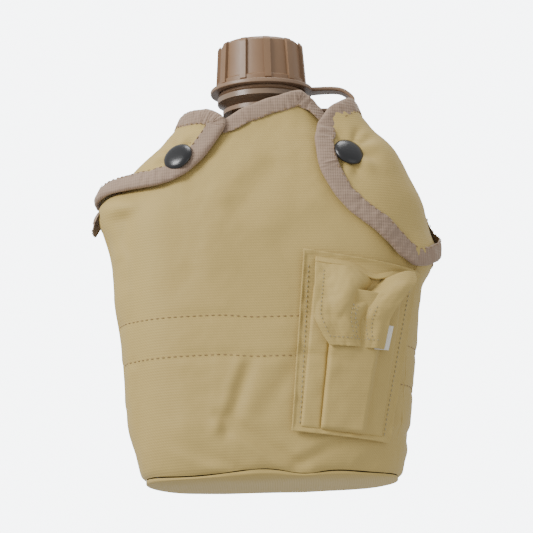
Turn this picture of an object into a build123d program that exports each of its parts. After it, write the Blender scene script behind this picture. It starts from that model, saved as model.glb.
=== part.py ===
"""One-quart plastic canteen in a snap-closed cloth cover.

Upright frame: +Z up along the bottle, the front faces -Y, the wearer's side is +Y.
The origin is the middle of the cover's base.  Millimetres.
"""

import os
from math import cos, radians, sin

from build123d import *

# ---------------------------------------------------------------- driving sizes
cover_width = 147.0  # widest point of the cloth cover
cover_depth = 80.0  # front to back
shoulder_height = 180.0  # base to where the cover meets the neck
cloth = 1.2  # cover cloth, two plies and their seam
pile = 2.0  # thickness of the pile lining
bottle_gap = 0.5  # slack between lining and bottle
seam_y = 12.0  # front and back panels meet here

neck_radius = 15.0
flange_radius = 21.5
flange_thickness = 2.5
finish_radius = 17.0  # plain cylinder that carries the thread
mouth_radius = 13.0
bottle_wall = 2.0

thread_pitch = 6.0
thread_turns = 1.5
thread_height = 1.5
thread_clearance = 0.5
thread_base = 3.0
thread_tip = 1.6
thread_root = 0.3  # how far a ridge sinks into its wall
thread_lead = 6.0  # first turn above the foot of the sleeve

cap_height = 22.0
cap_wall = 1.5
skirt_wall = 0.4  # skirt left in the valleys between the ribs
cap_top = 3.5
gasket_thickness = 2.0
gasket_fit = 0.3
lip_gap = 0.2  # left between gasket and bottle when the cap is on
cap_taper = 1.2  # the skirt narrows by this much towards its top
cap_edge = 3.0  # rounding of the cap's top edge
rim_width = 0.9  # plain rim at the foot of the skirt
rim_height = 2.5
rim_slope = 0.7
rib_count = 11
rib_height = 1.6
rib_foot = 1.0  # chamfer at the foot of each rib
rib_width = 3.0
rib_root = 0.2  # ribs start this far outside the cap's bore
rib_turn = 8.8  # first rib, degrees from the front towards +X
sleeve_wall = 1.1
ring_width = 4.3
ring_thickness = 2.0
ring_edge = 0.5
neck_ring_width = 4.0
strap_fit = 0.3
ring_clearance = 0.4
bead_height = 1.6  # bead that holds the strap's ring under the skirt
bead_grip = 0.5
bead_chamfer = 0.6
strap_width = 8.0
strap_reach = 44.0  # outermost point of the strap's loop

flap_gap = 0.5
flap_thickness = 2.4
fold_margin = 0.4  # back panel left free beside the fold line
flap_root = 1.2  # cloth left free beside the fold line
fold_lift = 6.0  # the fold axis stands this far out, so the flap rolls clear of the back panel
binding_width = 7.0
front_binding_width = 5.0
lining_margin = 2.0  # lining stops this far below the binding

snap_cap_radius = 7.0
snap_cap_height = 3.0
snap_cap_edge = 2.4
snap_clearance = 0.6
snap_reach = 8.0  # how far the snap's cuts reach from the cloth
stud_radius = 2.75
stud_height = 1.5
stud_clearance = 1.44
shank_radius = 1.6
washer_radius = 4.5
washer_thickness = 0.8
socket_radius = 5.6

pocket_x = 42.0
pocket_height = 62.0
pocket_lean = -4.5
patch_width = 50.0
patch_length = 92.0
patch_thickness = 1.2
pouch_width = 43.0
pouch_length = 71.0
pouch_margin = 3.0  # patch left free below the pouch
pouch_room = 5.4  # clear space between patch and pouch front
pouch_wall = 1.2
pocket_flap_width = 44.0
pocket_flap_length = 39.0
pocket_flap_thickness = 1.6
pocket_seam = 5.0  # folded seam that holds the flap
seam_inset = 1.5
hinge_gap = 0.5
pocket_behind = 25.0  # pocket blocks start this far inside the cover
pocket_ahead = 30.0
flap_corner = 3.0
tape_inset = 3.0
tape_thickness = 1.0
tape_width = 30.0
tape_length = 14.0

webbing_width = 19.0
inner_webbing_height = 67.0
webbing = 1.4
webbing_length = 110.0
webbing_heights = (98.0, 128.0)
clip_spacing = 64.0
clip_width = 28.0
clip_foot = 78.0
clip_head = 146.0
clip_strip = 1.5
clip_bend = 1.6  # path radius of the bends at a clip's foot
clip_turn_up = 5.0  # height of the turned-up foot
clip_mouth = 1.0  # gap that the slide bridges
foot_join = 3.0
loop_wall = 3.0  # webbing left beside each clip
belt_gap = 7.0
slide_length = 14.0
slide_wall = 1.0
slide_start = 2.4  # lower end of a locked slide, above the clip's foot
slide_clearance = 0.3

# Stations up the cover: share of shoulder_height, of cover_width, of cover_depth,
# and how far the bottle stands inside the lining there.
STATIONS = (
    (0.00, 0.82, 0.83, 6.0),
    (0.04, 0.835, 0.86, 0.5),
    (0.15, 0.89, 0.93, 0.0),
    (0.37, 0.96, 0.99, 0.0),
    (0.57, 1.00, 1.00, 0.0),
    (0.72, 0.98, 0.98, 0.5),
    (0.79, 0.885, 0.93, 1.5),
    (0.85, 0.765, 0.86, 3.0),
    (0.90, 0.63, 0.79, 6.5),
    (0.95, 0.52, 0.73, 9.0),
    (1.00, 0.45, 0.70, 0.0),
    (1.055, 0.43, 0.69, 0.0),
)
BOTTLE_TOP = 9  # last station that the bottle's body has
SNAP_PLACE = (0.2687, 0.8444)  # a snap: shares of cover_width and shoulder_height, as the flap's edge
FRONT_BULGE = 0.09  # share of the depth
KIDNEY = 3.0  # hollow of the bottle's back
BACK_TOP = 0.975  # top edge of the back panel, share of shoulder_height
BACK_HOLLOW = 0.3  # hollow of the cover's back
CORNER = 0.44  # corner radius, share of the depth behind the bulge

# Top edge of the front panel: shares of cover_width and of shoulder_height.
FRONT_TOP = (
    (-1.00, 0.70),
    (-0.50, 0.735),
    (-0.42, 0.82),
    (-0.306, 0.92),
    (-0.116, 0.955),
    (0.041, 1.01),
    (0.129, 1.04),
    (0.197, 0.975),
    (0.306, 0.93),
    (0.42, 0.80),
    (0.50, 0.62),
    (1.00, 0.58),
)

# Edge of the right flap from the neck round to the side, the same shares.
FLAP_EDGE = (
    (0.279, 1.12),
    (0.279, 0.99),
    (0.204, 0.93),
    (0.180, 0.865),
    (0.218, 0.775),
    (0.320, 0.71),
    (0.52, 0.60),
    (1.1, 0.56),
    (1.1, 1.12),
)

# ---------------------------------------------------------------- derived places
lining_face = cloth + pile
bottle_floor = lining_face + bottle_gap
flange_top = shoulder_height + 8.5
sleeve_bottom = flange_top + ring_clearance
ring_bottom = sleeve_bottom + bead_height + ring_clearance
skirt_bottom = ring_bottom + ring_thickness + ring_clearance
cap_z_top = skirt_bottom + cap_height
cap_bore = finish_radius + thread_height + thread_clearance
sleeve_radius = cap_bore + sleeve_wall
ring_bore = sleeve_radius + ring_clearance
bead_radius = ring_bore + bead_grip
ring_radius = ring_bore + ring_width
skirt_radius = sleeve_radius + skirt_wall
gasket_top = cap_z_top - cap_top
lip = gasket_top - gasket_thickness - lip_gap
neck_cone = 3.0  # rise of the slope under the flange
strap_low = flange_top - flange_thickness - neck_cone - ring_thickness - ring_clearance

fold_inner = Vector(20, 0.79 * cover_depth / 2 * 0.92, 0.95 * shoulder_height + 1)
fold_outer = Vector(0.51 * cover_width, 0.19 * cover_depth, 0.72 * shoulder_height)
fold = (fold_outer - fold_inner).normalized()
fold_ahead = Vector(0.132, -0.866, 0.483).normalized()
fold_axis_point = fold_inner + fold_lift * fold_ahead.cross(fold)

os.makedirs("parts", exist_ok=True)


def write(piece, name):
    """Label a finished piece and write its STEP file."""
    piece.label = name
    export_step(piece, f"parts/{name}.step")


# ---------------------------------------------------------------- body forms
def section(z, width, depth, hollow):
    """Rounded outline at height z: a convex front edge at -Y and a hollow back edge at +Y."""
    bulge = FRONT_BULGE * depth
    x, y = width / 2, depth / 2
    with BuildSketch(Plane.XY.offset(z)) as shape:
        with BuildLine():
            ThreePointArc((-x, -y + bulge), (0, -y), (x, -y + bulge))
            Line((x, -y + bulge), (x, y))
            ThreePointArc((x, y), (0, y - hollow), (-x, y))
            Line((-x, y), (-x, -y + bulge))
        make_face()
        fillet(shape.vertices(), CORNER * (depth - bulge))
    return shape.sketch


def body_form(grow):
    """The cover's outside, moved out by grow."""
    sections = [
        section(
            height * shoulder_height,
            width * cover_width + 2 * grow,
            depth * cover_depth + 2 * grow,
            BACK_HOLLOW,
        )
        for height, width, depth, _ in STATIONS
    ]
    with BuildPart() as form:
        loft(sections=sections)
    return form.part


def bottle_form(shrink, floor):
    """The bottle's kidney-shaped body below its neck, its wall moved in by shrink."""
    inset = lining_face + bottle_gap + shrink
    sections = [
        section(
            floor + height * (shoulder_height - floor),
            width * cover_width - 2 * (inset + ease),
            depth * cover_depth - 2 * (inset + ease),
            KIDNEY,
        )
        for height, width, depth, ease in STATIONS[: BOTTLE_TOP + 1]
    ]
    with BuildPart() as form:
        loft(sections=sections)
    return form.part


outside = body_form(0)
cloth_inside = body_form(-cloth)
lining_inside = body_form(-lining_face)
flap_under = body_form(flap_gap)
flap_over = body_form(flap_gap + flap_thickness)


def seat_on(form, x, z):
    """Point and outward normal where a line along +Y first meets a form."""
    hits = form.find_intersection_points(Axis((x, -300, z), (0, 1, 0)))
    return min(hits, key=lambda hit: hit[0].Y)


# ---------------------------------------------------------------- bottle
def helix_ridge(radius, start, depth):
    """One thread ridge that stands out by depth, or inwards if depth is negative."""
    root = -thread_root if depth > 0 else thread_root
    half_base, half_tip = thread_base / 2, thread_tip / 2
    with BuildPart() as ridge:
        with BuildLine() as path:
            Helix(thread_pitch, thread_turns * thread_pitch, radius, center=(0, 0, start))
        with BuildSketch(Plane((radius, 0, start), x_dir=(1, 0, 0), z_dir=(0, 1, 0))):
            with BuildLine():
                Polyline(
                    (root, -half_base),
                    (root, half_base),
                    (depth, half_tip),
                    (depth, -half_tip),
                    close=True,
                )
            make_face()
        sweep(path=path.line, is_frenet=True)
    return ridge.part


thread_start = sleeve_bottom + thread_lead
neck_foot = 0.92 * shoulder_height
mouth_foot = neck_foot - 0.8 * neck_radius
bottle_outer = bottle_form(0, bottle_floor)
bottle_inner = bottle_form(bottle_wall, bottle_floor + bottle_wall)

with BuildPart() as bottle_body:
    add(bottle_outer)
    with BuildSketch(Plane.XZ):
        with BuildLine():
            Polyline(
                (0, neck_foot),
                (neck_radius, neck_foot),
                (neck_radius, flange_top - flange_thickness - neck_cone),
                (flange_radius, flange_top - flange_thickness),
                (flange_radius, flange_top),
                (finish_radius, flange_top),
                (finish_radius, lip),
                (0, lip),
                close=True,
            )
        make_face()
    revolve(axis=Axis.Z)
    add(helix_ridge(finish_radius, thread_start, thread_height))
    add(bottle_inner, mode=Mode.SUBTRACT)
    with Locations((0, 0, mouth_foot)):
        Cylinder(
            mouth_radius,
            lip - mouth_foot + cap_top,
            align=(Align.CENTER, Align.CENTER, Align.MIN),
            mode=Mode.SUBTRACT,
        )
write(bottle_body.part, "bottle_body")

# ---------------------------------------------------------------- cap
with BuildPart() as rib_envelope:
    with BuildSketch(Plane.XZ):
        with BuildLine():
            outer_low = skirt_radius + rib_height
            outer_high = outer_low - cap_taper
            Line((0, skirt_bottom), (outer_low - rib_foot, skirt_bottom))
            Line((outer_low - rib_foot, skirt_bottom), (outer_low, skirt_bottom + rib_foot))
            Line((outer_low, skirt_bottom + rib_foot), (outer_high, cap_z_top - cap_edge))
            RadiusArc((outer_high, cap_z_top - cap_edge), (outer_high - cap_edge, cap_z_top), -cap_edge)
            Line((outer_high - cap_edge, cap_z_top), (0, cap_z_top))
            Line((0, cap_z_top), (0, skirt_bottom))
        make_face()
    revolve(axis=Axis.Z)

with BuildPart() as ribs:
    with BuildSketch(Plane.XY.offset(skirt_bottom)):
        with PolarLocations(cap_bore + rib_root, rib_count, start_angle=rib_turn - 90):
            Rectangle(2 * rib_height + cap_wall, rib_width, align=(Align.MIN, Align.CENTER))
    extrude(amount=cap_height)
    add(rib_envelope.part, mode=Mode.INTERSECT)

with BuildPart() as cap:
    with BuildSketch(Plane.XZ):
        with BuildLine():
            Polyline(
                (cap_bore, sleeve_bottom),
                (bead_radius - bead_chamfer, sleeve_bottom),
                (bead_radius, sleeve_bottom + bead_chamfer),
                (bead_radius, sleeve_bottom + bead_height),
                (sleeve_radius, sleeve_bottom + bead_height),
                (sleeve_radius, skirt_bottom),
                (skirt_radius + rim_width, skirt_bottom),
                (skirt_radius + rim_width, skirt_bottom + rim_height),
                (skirt_radius, skirt_bottom + rim_height + rim_slope),
                (skirt_radius - cap_taper, cap_z_top - cap_wall),
                (skirt_radius - cap_taper - cap_wall, cap_z_top),
                (0, cap_z_top),
                (0, gasket_top),
                (cap_bore, gasket_top),
                close=True,
            )
        make_face()
    revolve(axis=Axis.Z)
    add(ribs.part)
    add(helix_ridge(cap_bore, thread_start - thread_pitch / 2, -thread_height))
write(cap.part, "cap")

with BuildPart() as cap_gasket:
    with BuildSketch(Plane.XY.offset(gasket_top - gasket_thickness)):
        Circle(cap_bore - gasket_fit)
    extrude(amount=gasket_thickness)
write(cap_gasket.part, "cap_gasket")

# ---------------------------------------------------------------- strap
with BuildPart() as strap_cap_ring:
    with BuildSketch(Plane.XY.offset(ring_bottom)):
        Circle(ring_radius)
        Circle(ring_bore, mode=Mode.SUBTRACT)
    extrude(amount=ring_thickness)
    fillet(strap_cap_ring.edges().filter_by(GeomType.CIRCLE), ring_edge)
write(strap_cap_ring.part, "strap_cap_ring")

with BuildPart() as strap_neck_ring:
    with BuildSketch(Plane.XY.offset(strap_low)):
        Circle(neck_radius + neck_ring_width)
        Circle(neck_radius + strap_fit, mode=Mode.SUBTRACT)
    extrude(amount=ring_thickness)
write(strap_neck_ring.part, "strap_neck_ring")

loop_high = ring_bottom + ring_thickness / 2
loop_low = strap_low + ring_thickness / 2
loop_bend = (loop_high - loop_low) / 2
loop_x = strap_reach - loop_bend - ring_thickness / 2
with BuildPart() as strap_loop:
    with BuildSketch(Plane.XZ):
        with BuildLine() as loop_path:
            Line((ring_radius + strap_fit, loop_high), (loop_x, loop_high))
            ThreePointArc(
                (loop_x, loop_high), (loop_x + loop_bend, loop_high - loop_bend), (loop_x, loop_low)
            )
            Line((loop_x, loop_low), (neck_radius + neck_ring_width, loop_low))
        trace(loop_path.line, line_width=ring_thickness)
    extrude(amount=strap_width / 2, both=True)
write(strap_loop.part, "strap_loop")

# ---------------------------------------------------------------- snap places
snap_x = SNAP_PLACE[0] * cover_width
snap_height = SNAP_PLACE[1] * shoulder_height
snap_point, snap_normal = seat_on(outside, snap_x, snap_height)
snap_plane = Plane(snap_point, z_dir=snap_normal)
flap_rise = flap_gap + flap_thickness
print("snap seat", snap_point, snap_normal)


def on_both_sides(piece):
    """A right-hand piece together with its mirrored left-hand copy."""
    return Part() + [piece, piece.mirror(Plane.YZ)]


with BuildPart() as stud_hole:
    with BuildSketch(snap_plane.offset(-lining_face)):
        Circle(shank_radius)
    extrude(amount=2 * lining_face)
    with BuildSketch(snap_plane.offset(-cloth - washer_thickness)):
        Circle(washer_radius)
    extrude(amount=washer_thickness)
stud_holes = on_both_sides(stud_hole.part)

# ---------------------------------------------------------------- cover panels
def front_zone(inset):
    """Everything ahead of the side seam and below the front panel's top edge."""
    with BuildPart() as zone:
        with BuildSketch(Plane.XZ.offset(-seam_y)):
            with BuildLine():
                edge = [(x * cover_width, z * shoulder_height - inset) for x, z in FRONT_TOP]
                Polyline(*edge, (cover_width, 0), (-cover_width, 0), close=True)
            make_face()
        extrude(amount=2 * cover_depth)
    return zone.part


def behind_fold(side, margin):
    """Half space behind one flap's fold line, kept clear of it by margin."""
    normal = Vector(side * fold_ahead.X, fold_ahead.Y, fold_ahead.Z)
    point = Vector(side * fold_inner.X, fold_inner.Y, fold_inner.Z) - margin * normal
    with BuildPart() as half:
        with BuildSketch(Plane(point, z_dir=-normal)):
            Rectangle(6 * cover_width, 6 * cover_width)
        extrude(amount=4 * cover_width)
    return half.part


with BuildPart() as back_zone:
    with BuildSketch(Plane.XZ.offset(-seam_y)):
        Rectangle(2 * cover_width, BACK_TOP * shoulder_height, align=(Align.CENTER, Align.MIN))
    extrude(amount=-2 * cover_depth)
    for side in (-1, 1):
        add(behind_fold(side, fold_margin), mode=Mode.INTERSECT)

with BuildPart() as base_slab:
    Box(2 * cover_width, 2 * cover_depth, cloth, align=(Align.CENTER, Align.CENTER, Align.MIN))

with BuildPart() as cover_bottom:
    add(outside)
    add(base_slab.part, mode=Mode.INTERSECT)
write(cover_bottom.part, "cover_bottom")

with BuildPart() as cover_front:
    add(outside)
    add(cloth_inside, mode=Mode.SUBTRACT)
    add(base_slab.part, mode=Mode.SUBTRACT)
    add(front_zone(front_binding_width), mode=Mode.INTERSECT)
    add(stud_holes, mode=Mode.SUBTRACT)
write(cover_front.part, "cover_front")

with BuildPart() as front_binding:
    add(outside)
    add(cloth_inside, mode=Mode.SUBTRACT)
    add(front_zone(0), mode=Mode.INTERSECT)
    add(front_zone(front_binding_width), mode=Mode.SUBTRACT)
write(front_binding.part, "front_binding")

with BuildPart() as cover_back:
    add(outside)
    add(cloth_inside, mode=Mode.SUBTRACT)
    add(base_slab.part, mode=Mode.SUBTRACT)
    add(back_zone.part, mode=Mode.INTERSECT)
write(cover_back.part, "cover_back")

with BuildPart() as inner_webbing:
    add(cloth_inside)
    add(body_form(-cloth - webbing), mode=Mode.SUBTRACT)
    with BuildSketch(Plane.XY.offset(inner_webbing_height - webbing_width / 2)):
        with Locations((0, (seam_y - cover_depth) / 2)):
            Rectangle(2 * cover_width, seam_y + cover_depth)
    extrude(amount=webbing_width, mode=Mode.INTERSECT)
write(inner_webbing.part, "inner_webbing")

with BuildPart() as lining_room:
    add(lining_inside)
    Box(
        2 * cover_width,
        2 * cover_depth,
        lining_face,
        align=(Align.CENTER, Align.CENTER, Align.MIN),
        mode=Mode.SUBTRACT,
    )

with BuildPart() as lining_zone:
    add(front_zone(front_binding_width + lining_margin))
    add(back_zone.part)

with BuildPart() as pile_lining:
    add(cloth_inside)
    add(base_slab.part, mode=Mode.SUBTRACT)
    add(lining_room.part, mode=Mode.SUBTRACT)
    add(lining_zone.part, mode=Mode.INTERSECT)
    add(inner_webbing.part, mode=Mode.SUBTRACT)
    add(stud_holes, mode=Mode.SUBTRACT)
write(pile_lining.part, "pile_lining")

# ---------------------------------------------------------------- shoulder flaps
def flap_zone(inset):
    """The right flap's outline seen from the front, its bound edge moved in by inset."""
    with BuildPart() as zone:
        with BuildSketch(Plane.XZ):
            with BuildLine():
                edge = [(x * cover_width, z * shoulder_height) for x, z in FLAP_EDGE]
                Polyline(*edge, close=True)
            make_face()
            if inset:
                offset(amount=-inset, mode=Mode.REPLACE)
        extrude(amount=2 * cover_depth, both=True)
    return zone.part


with BuildPart() as ahead_of_fold:
    add(flap_zone(0))
    add(behind_fold(1, -flap_root), mode=Mode.SUBTRACT)

with BuildPart() as flap_blank:
    add(flap_over)
    add(flap_under, mode=Mode.SUBTRACT)
    add(ahead_of_fold.part, mode=Mode.INTERSECT)
    with BuildSketch(snap_plane.offset(flap_rise)):
        Circle(snap_cap_radius + snap_clearance)
    extrude(amount=snap_reach, mode=Mode.SUBTRACT)
    with BuildSketch(snap_plane.offset(-snap_reach)):
        Circle(socket_radius)
    extrude(amount=3 * snap_reach, mode=Mode.SUBTRACT)

with BuildPart() as right_flap:
    add(flap_blank.part)
    add(flap_zone(binding_width), mode=Mode.INTERSECT)

with BuildPart() as right_flap_binding:
    add(flap_blank.part)
    add(flap_zone(binding_width), mode=Mode.SUBTRACT)

with BuildPart() as right_snap_socket:
    with BuildSketch(snap_plane.offset(flap_gap)):
        Circle(socket_radius)
        Circle(stud_radius + stud_clearance, mode=Mode.SUBTRACT)
    extrude(amount=flap_thickness)

with BuildPart() as right_snap_cap:
    with BuildSketch(snap_plane.offset(flap_rise)):
        Circle(snap_cap_radius)
    extrude(amount=snap_cap_height)
    fillet(right_snap_cap.faces().sort_by(Axis(snap_point, snap_normal))[-1].edges(), snap_cap_edge)

with BuildPart() as right_snap_stud:
    with BuildSketch(snap_plane.offset(-cloth)):
        Circle(shank_radius)
    extrude(amount=cloth + flap_gap)
    with BuildSketch(snap_plane.offset(flap_gap)):
        Circle(stud_radius)
    extrude(amount=stud_height)

with BuildPart() as right_stud_washer:
    with BuildSketch(snap_plane.offset(-cloth - washer_thickness)):
        Circle(washer_radius)
    extrude(amount=washer_thickness)

for name, piece in (
    ("flap", right_flap),
    ("flap_binding", right_flap_binding),
    ("snap_socket", right_snap_socket),
    ("snap_cap", right_snap_cap),
    ("snap_stud", right_snap_stud),
    ("stud_washer", right_stud_washer),
):
    write(piece.part, f"right_{name}")
    write(piece.part.mirror(Plane.YZ), f"left_{name}")

# ---------------------------------------------------------------- tablet pocket
pocket_point, pocket_normal = seat_on(outside, pocket_x, pocket_height)
pocket_facing = Vector(pocket_normal.X, pocket_normal.Y, 0).normalized()
lean = radians(pocket_lean)
pocket_across = Vector(-pocket_facing.Y * cos(lean), pocket_facing.X * cos(lean), sin(lean))
pocket_plane = Plane(pocket_point, x_dir=pocket_across, z_dir=pocket_facing)
print("pocket seat", pocket_point, pocket_facing)
patch_face = body_form(patch_thickness)
pouch_low = pouch_margin - patch_length / 2
pouch_front = patch_thickness + pouch_room + pouch_wall
hinge_level = patch_length / 2 - pocket_seam - seam_inset
flap_face = pouch_front + 2 * tape_thickness + ring_clearance
tape_level = hinge_level - pocket_flap_length + tape_length / 2 + tape_inset


def pocket_block(width, low, high, back, front):
    """A block in the pocket's own plane: centred across, low to high, back to front."""
    with BuildPart() as block:
        with BuildSketch(pocket_plane.offset(back)):
            with Locations((0, (low + high) / 2)):
                Rectangle(width, high - low)
        extrude(amount=front - back)
    return block.part


with BuildPart() as pocket_patch:
    add(patch_face)
    add(outside, mode=Mode.SUBTRACT)
    add(
        pocket_block(patch_width, -patch_length / 2, patch_length / 2, -pocket_behind, pocket_ahead),
        mode=Mode.INTERSECT,
    )
write(pocket_patch.part, "pocket_patch")

with BuildPart() as pocket_pouch:
    add(pocket_block(pouch_width, pouch_low, pouch_low + pouch_length, -pocket_behind, pouch_front))
    add(
        pocket_block(
            pouch_width - 2 * pouch_wall,
            pouch_low + pouch_wall,
            pouch_low + pouch_length + pouch_wall,
            -pocket_behind,
            pouch_front - pouch_wall,
        ),
        mode=Mode.SUBTRACT,
    )
    add(patch_face, mode=Mode.SUBTRACT)
write(pocket_pouch.part, "pocket_pouch")

with BuildPart() as pocket_flap_seam:
    add(
        pocket_block(
            pocket_flap_width,
            hinge_level + hinge_gap + pocket_flap_thickness / 2,
            hinge_level + pocket_seam,
            -pocket_behind,
            flap_face,
        )
    )
    add(patch_face, mode=Mode.SUBTRACT)
write(pocket_flap_seam.part, "pocket_flap_seam")

with BuildPart() as pocket_flap:
    add(
        pocket_block(
            pocket_flap_width,
            hinge_level - pocket_flap_length,
            hinge_level - hinge_gap,
            flap_face,
            flap_face + pocket_flap_thickness,
        )
    )
    fillet(pocket_flap.edges().filter_by(Axis(pocket_point, pocket_facing)), flap_corner)
write(pocket_flap.part, "pocket_flap")

tape_low = tape_level - tape_length / 2
tape_high = tape_level + tape_length / 2
hook = pocket_block(tape_width, tape_low, tape_high, flap_face - tape_thickness, flap_face)
loops = pocket_block(tape_width, tape_low, tape_high, pouch_front, pouch_front + tape_thickness)
write(hook, "pocket_hook_tape")
write(loops, "pocket_loop_tape")
pocket_hinge = pocket_plane.from_local_coords(
    Vector(0, hinge_level, flap_face + pocket_flap_thickness / 2)
)
print("pocket hinge", pocket_hinge, pocket_plane.x_dir)

# ---------------------------------------------------------------- belt clips
back_face = cover_depth / 2
leg_in = back_face + slide_clearance + clip_strip / 2
web_under = leg_in + clip_strip / 2 + slide_clearance
web_face = web_under + webbing
leg_out = web_face + belt_gap + clip_strip / 2
bend = (leg_out - leg_in) / 2
webbing_skin = body_form(webbing)


def back_box(x, width, low, high, near, far):
    """A box centred on x, from low to high in Z and near to far in Y."""
    with BuildPart() as box:
        with Locations((x, (near + far) / 2, (low + high) / 2)):
            Box(width, far - near, high - low)
    return box.part


for name, level in zip(("lower", "upper"), webbing_heights):
    low, high = level - webbing_width / 2, level + webbing_width / 2
    with BuildPart() as back_webbing:
        add(webbing_skin)
        add(back_box(0, webbing_length, low, high, 0, 2 * cover_depth), mode=Mode.INTERSECT)
        for side in (-1, 1):
            x = side * clip_spacing / 2
            add(back_box(x, clip_width + 2 * loop_wall, low, high, 0, web_face))
            add(
                back_box(x, clip_width + 2 * slide_clearance, low, high, 0, web_under),
                mode=Mode.SUBTRACT,
            )
        add(outside, mode=Mode.SUBTRACT)
    write(back_webbing.part, f"back_webbing_{name}")

for name, side in (("right", 1), ("left", -1)):
    x = side * clip_spacing / 2
    with BuildPart() as clip_frame:
        with BuildSketch(Plane.YZ.offset(x)):
            with BuildLine() as clip_path:
                Line((leg_in, clip_foot + foot_join), (leg_in, clip_head - bend))
                ThreePointArc(
                    (leg_in, clip_head - bend), (leg_in + bend, clip_head), (leg_out, clip_head - bend)
                )
                Line((leg_out, clip_head - bend), (leg_out, clip_foot + clip_turn_up + clip_mouth))
            trace(clip_path.line, line_width=clip_strip)
        extrude(amount=clip_width / 2, both=True)
        with BuildSketch(Plane.YZ.offset(x)):
            with BuildLine() as foot_path:
                FilletPolyline(
                    (leg_in, clip_foot + foot_join),
                    (leg_in, clip_foot),
                    (leg_out, clip_foot),
                    (leg_out, clip_foot + clip_turn_up),
                    radius=clip_bend,
                )
            trace(foot_path.line, line_width=clip_strip)
        extrude(amount=clip_width / 2, both=True)
    write(clip_frame.part, f"{name}_clip_frame")

    with BuildPart() as clip_slide:
        with BuildSketch(Plane.XY.offset(clip_foot + slide_start)):
            with Locations((x, leg_out)):
                room = 2 * slide_clearance
                Rectangle(clip_width + room + 2 * slide_wall, clip_strip + room + 2 * slide_wall)
                Rectangle(clip_width + room, clip_strip + room, mode=Mode.SUBTRACT)
        extrude(amount=slide_length)
    write(clip_slide.part, f"{name}_clip_slide")

print("fold axis", fold_axis_point, -fold)
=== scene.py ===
"""One-quart canteen in a khaki cloth cover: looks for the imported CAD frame.  Metres, +Z up, front -Y."""

import math

import bmesh
import bpy
from mathutils import Matrix, Vector, noise
from mathutils.bvhtree import BVHTree


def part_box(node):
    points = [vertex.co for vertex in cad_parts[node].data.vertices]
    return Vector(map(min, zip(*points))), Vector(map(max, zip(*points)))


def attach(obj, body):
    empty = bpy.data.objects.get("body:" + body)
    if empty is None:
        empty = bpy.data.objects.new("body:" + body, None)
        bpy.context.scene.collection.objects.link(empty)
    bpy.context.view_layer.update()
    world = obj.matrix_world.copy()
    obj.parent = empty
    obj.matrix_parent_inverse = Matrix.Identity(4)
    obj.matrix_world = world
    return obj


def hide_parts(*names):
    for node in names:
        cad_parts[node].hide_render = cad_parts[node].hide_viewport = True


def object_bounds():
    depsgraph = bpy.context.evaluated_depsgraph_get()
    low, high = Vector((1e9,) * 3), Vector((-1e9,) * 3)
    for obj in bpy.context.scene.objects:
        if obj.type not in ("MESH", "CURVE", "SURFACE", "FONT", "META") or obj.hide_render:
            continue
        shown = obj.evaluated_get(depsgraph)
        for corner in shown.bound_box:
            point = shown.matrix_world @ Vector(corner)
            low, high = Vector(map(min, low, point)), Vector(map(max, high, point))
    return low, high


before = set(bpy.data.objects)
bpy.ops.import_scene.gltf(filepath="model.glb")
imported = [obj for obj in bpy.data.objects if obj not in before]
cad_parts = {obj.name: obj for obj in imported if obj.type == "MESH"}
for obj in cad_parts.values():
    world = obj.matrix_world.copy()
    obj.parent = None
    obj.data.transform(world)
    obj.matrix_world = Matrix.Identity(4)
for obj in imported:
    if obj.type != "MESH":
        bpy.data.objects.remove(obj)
box_at_load = [tuple(corner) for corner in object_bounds()]
ROOT = "covered_bottle"

# ------------------------------------------------------------------ camera, light and floor
# The object stands on pale paper in a plain studio: one large soft light at its left, a weak fill at
# its right and one above.  The paper is clear from below, because the camera looks up slightly.
middle = Vector((0.0, 0.0, 0.5 * box_at_load[1][2]))
look_up = math.radians(11.5)
roll = math.radians(1.6)
distance = 1.27

camera = bpy.data.objects.new("camera", bpy.data.cameras.new("camera"))
camera.data.lens = 179.5
camera.data.shift_y = -0.0060
camera.data.sensor_width = 36
camera.location = middle + distance * Vector((0, -math.cos(look_up), -math.sin(look_up)))
facing = (middle - camera.location).to_track_quat("-Z", "Y")
camera.rotation_euler = (facing.to_matrix() @ Matrix.Rotation(-roll, 3, "Z")).to_euler()
bpy.context.scene.collection.objects.link(camera)
bpy.context.scene.camera = camera

world = bpy.data.worlds.new("studio")
world.use_nodes = True
ambient = world.node_tree.nodes["Background"]
ambient.inputs["Color"].default_value = (0.94, 0.95, 0.96, 1)
ambient.inputs["Strength"].default_value = 0.78
backdrop = world.node_tree.nodes.new("ShaderNodeBackground")
backdrop.inputs["Color"].default_value = (0.93, 0.965, 1.0, 1)
backdrop.inputs["Strength"].default_value = 7.0
seen_by = world.node_tree.nodes.new("ShaderNodeLightPath")
either = world.node_tree.nodes.new("ShaderNodeMixShader")
world.node_tree.links.new(seen_by.outputs["Is Camera Ray"], either.inputs[0])
world.node_tree.links.new(ambient.outputs[0], either.inputs[1])
world.node_tree.links.new(backdrop.outputs[0], either.inputs[2])
world.node_tree.links.new(either.outputs[0], world.node_tree.nodes["World Output"].inputs["Surface"])
bpy.context.scene.world = world


def soft_box(name, place, size, power):
    """A square area light that faces the object's middle."""
    light = bpy.data.lights.new(name, "AREA")
    light.size = size
    light.energy = power
    lamp = bpy.data.objects.new(name, light)
    lamp.location = place
    lamp.rotation_euler = (middle - Vector(place)).to_track_quat("-Z", "Y").to_euler()
    bpy.context.scene.collection.objects.link(lamp)


soft_box("key", (-1.0, -0.75, 0.75), 0.55, 21)
soft_box("fill", (0.9, -0.8, -0.1), 0.9, 1.6)
soft_box("top", (0.1, 0.1, 1.2), 0.5, 6)

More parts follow.
